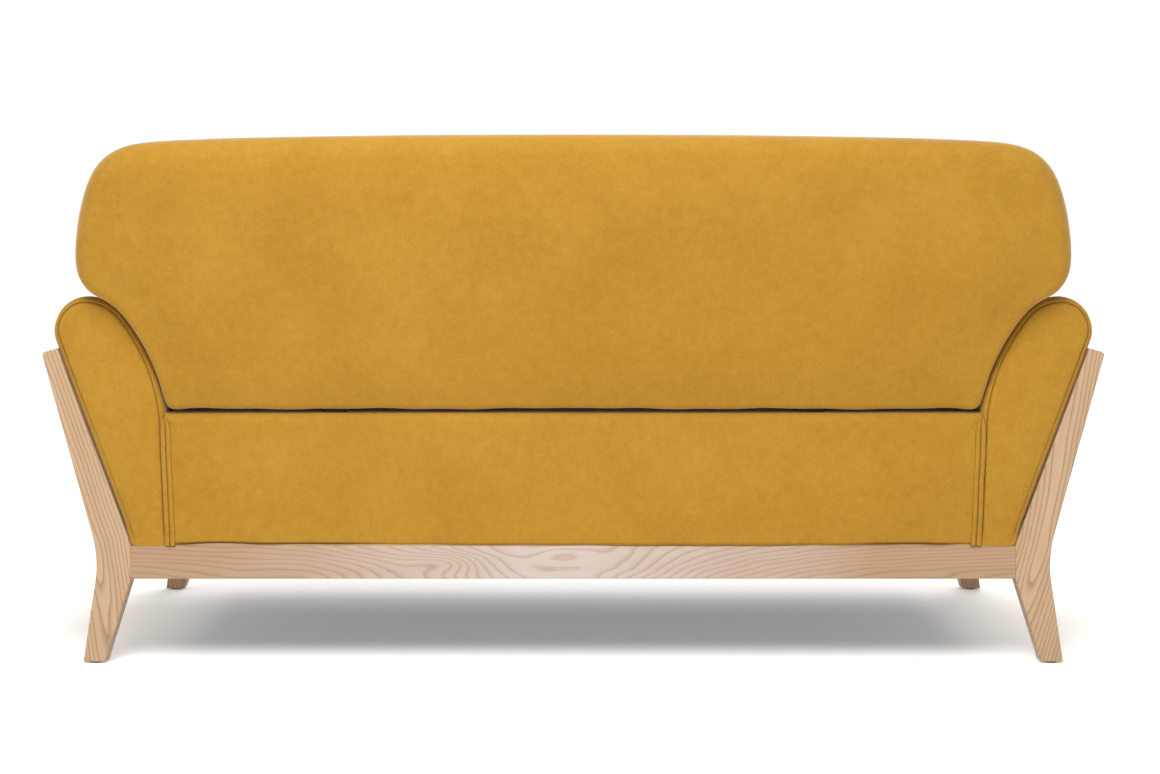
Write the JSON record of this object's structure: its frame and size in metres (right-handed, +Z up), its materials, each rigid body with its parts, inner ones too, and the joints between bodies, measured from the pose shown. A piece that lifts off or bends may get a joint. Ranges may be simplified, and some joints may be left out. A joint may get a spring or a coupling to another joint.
{
  "type": "sofa",
  "caption": "Sofa with flared upholstered arms, a winged padded backrest, loose seat cushions and splayed ash posts joined by wooden rails.",
  "frame": {"origin": "on the floor, under the middle of the whole sofa", "axes": "+X to the sitter's left, +Y to the rear, +Z up; the sitter looks along -Y"},
  "size_m": [1.7692, 0.79, 0.88],
  "materials": {
    "ash": "clear matt lacquer",
    "beech": "bare",
    "plywood": "bare",
    "softwood": "bare",
    "velour": "brushed matt pile",
    "foam": "open cell",
    "webbing": "woven elastic",
    "dust_cloth": "thin non-woven",
    "felt": "dense felt",
    "zinc_steel": "zinc plated"
  },
  "bodies": {
    "sofa_body": {"back_bottom_rail": "softwood", "back_bracket_plates": "zinc_steel", "back_bracket_sockets": "zinc_steel", "back_centre_stile": "softwood", "back_cover": "velour", "back_left_pad": "foam", "back_left_stile": "softwood", "back_rear_pad": "foam", "back_right_pad": "foam", "back_right_stile": "softwood", "back_top_rail": "softwood", "back_webbing": "webbing", "base_front_board": "plywood", "base_left_board": "plywood", "base_rear_board": "plywood", "base_right_board": "plywood", "bracket_screws": "zinc_steel", "centre_bearer": "beech", "corner_blocks": "beech", "deck_cloth": "velour", "deck_foam": "foam", "dust_cloth": "dust_cloth", "felt_glides": "felt", "front_apron_cover": "velour", "front_left_post": "ash", "front_rail": "ash", "front_right_post": "ash", "ledge_front_board": "plywood", "ledge_top_board": "plywood", "left_arm_bottom_rail": "softwood", "left_arm_cover": "velour", "left_arm_foam": "foam", "left_arm_front_board": "plywood", "left_arm_rear_board": "plywood", "left_arm_top_rail": "softwood", "left_arm_welts": "velour", "left_side_rail": "ash", "post_dowels": "beech", "post_studs": "zinc_steel", "rear_left_band": "velour", "rear_left_post": "ash", "rear_panel_cover": "velour", "rear_rail": "ash", "rear_right_band": "velour", "rear_right_post": "ash", "right_arm_bottom_rail": "softwood", "right_arm_cover": "velour", "right_arm_foam": "foam", "right_arm_front_board": "plywood", "right_arm_rear_board": "plywood", "right_arm_top_rail": "softwood", "right_arm_welts": "velour", "right_side_rail": "ash", "webbing_cleat": "softwood", "webbing_front_to_back": "webbing", "webbing_side_to_side": "webbing"},
    "left_cushion": {"left_cushion_core": "foam", "left_cushion_cover": "velour"},
    "right_cushion": {"right_cushion_core": "foam", "right_cushion_cover": "velour"}
  },
  "joints": [
    {"name": "left_cushion_lift", "type": "slide", "parent": "sofa_body", "child": "left_cushion", "axis": [0, 0, 1], "range_m": [0, 0.3]},
    {"name": "right_cushion_lift", "type": "slide", "parent": "sofa_body", "child": "right_cushion", "axis": [0, 0, 1], "range_m": [0, 0.3]}
  ]
}
